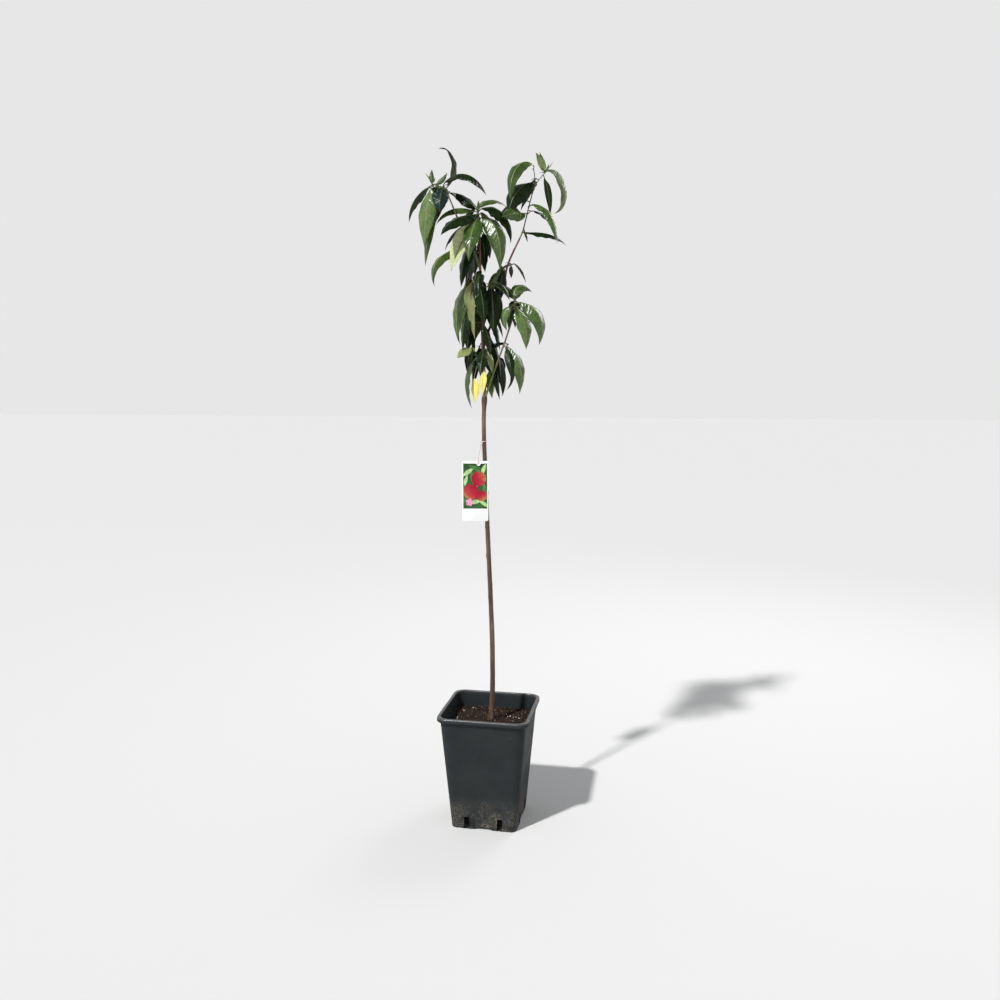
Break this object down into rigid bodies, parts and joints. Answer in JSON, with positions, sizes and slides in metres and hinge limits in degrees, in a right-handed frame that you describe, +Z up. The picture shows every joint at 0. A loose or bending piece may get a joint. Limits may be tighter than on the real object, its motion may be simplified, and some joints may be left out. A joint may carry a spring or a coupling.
{
  "type": "dwarf peach tree in a square nursery pot",
  "caption": "Young dwarf peach tree in a square black nursery pot: a slender stem with a picture label, thin upright shoots and long arching leaves in loose clusters.",
  "frame": {"origin": "middle of the pot's flat underside, on the ground", "axes": "+Z up along the stem, -Y the pot's front wall, which the picture shows, and +X to the right of it"},
  "size_m": [0.3597, 0.2474, 1.5869],
  "materials": {
    "pot_plastic": "matte, dusty",
    "potting_mix": "matte crumbs of bark and peat",
    "stem_bark": "thin satin bark with lenticels",
    "shoot_bark": "satin, green to reddish",
    "peach_leaf": "satin leaf",
    "label_card": "satin printed plastic card",
    "tie_thread": "satin"
  },
  "bodies": {
    "root": {"pot": "pot_plastic", "potting_mix": "potting_mix", "trunk": "stem_bark", "leader": "shoot_bark", "left_bough": "shoot_bark", "right_bough": "shoot_bark", "right_shoot": "shoot_bark", "picture_label": "label_card", "label_tie": "tie_thread", "foliage_left_top": "peach_leaf", "foliage_centre_top": "peach_leaf", "foliage_right_top": "peach_leaf", "foliage_right_mid": "peach_leaf", "foliage_right_spur": "peach_leaf", "foliage_bough_left": "peach_leaf", "foliage_left_spur": "peach_leaf", "foliage_inner_front": "peach_leaf", "foliage_inner_left": "peach_leaf", "foliage_inner_right": "peach_leaf", "foliage_inner_back": "peach_leaf", "foliage_low_right": "peach_leaf", "foliage_low_left": "peach_leaf", "foliage_low_front": "peach_leaf", "foliage_low_back": "peach_leaf"}
  },
  "joints": []
}
